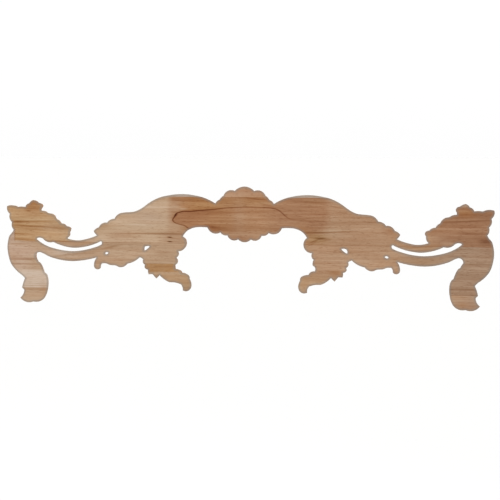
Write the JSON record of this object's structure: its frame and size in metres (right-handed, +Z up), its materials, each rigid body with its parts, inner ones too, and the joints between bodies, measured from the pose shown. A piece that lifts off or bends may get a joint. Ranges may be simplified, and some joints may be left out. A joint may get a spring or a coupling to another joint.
{
  "type": "carved wood applique",
  "caption": "Long pierced wood ornament with a central shell, arched leaf scrolls, paired stems and scrolled end legs, flat behind for gluing on furniture or walls.",
  "frame": {"origin": "on the flat glue face, behind the middle of the shell", "axes": "+X along the length, +Z up, and the carving faces -Y, so +Y points out of the flat glue face into what it is fixed to"},
  "size_m": [0.5998, 0.016, 0.1466],
  "materials": {
    "carved_wood": "unfinished sanded"
  },
  "bodies": {
    "root": {"applique": "carved_wood"}
  },
  "joints": []
}
